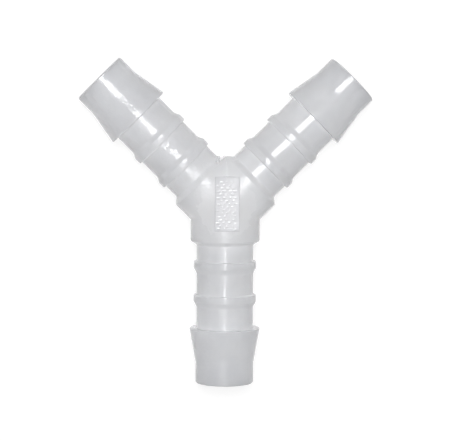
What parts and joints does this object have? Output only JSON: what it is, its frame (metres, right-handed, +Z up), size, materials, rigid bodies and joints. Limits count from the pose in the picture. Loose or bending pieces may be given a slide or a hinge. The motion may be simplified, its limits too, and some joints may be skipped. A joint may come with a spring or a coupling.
{
  "type": "tubing y connector",
  "caption": "Moulded plastic Y hose connector: a stem and mirrored branches meet in a hub, each arm with small ring barbs, a long end barb and a through bore.",
  "frame": {"origin": "the point where the three bore axes cross, in the middle of the hub", "axes": "+Z up, out of the marking table; the bore axes lie in the XY plane, the stem towards -Y and the branches 45 degrees either side of +Y"},
  "size_m": [0.0608, 0.0675, 0.0146],
  "materials": {
    "body": "semi-gloss, natural, slightly translucent"
  },
  "bodies": {
    "root": {"y_connector": "body"}
  },
  "joints": []
}
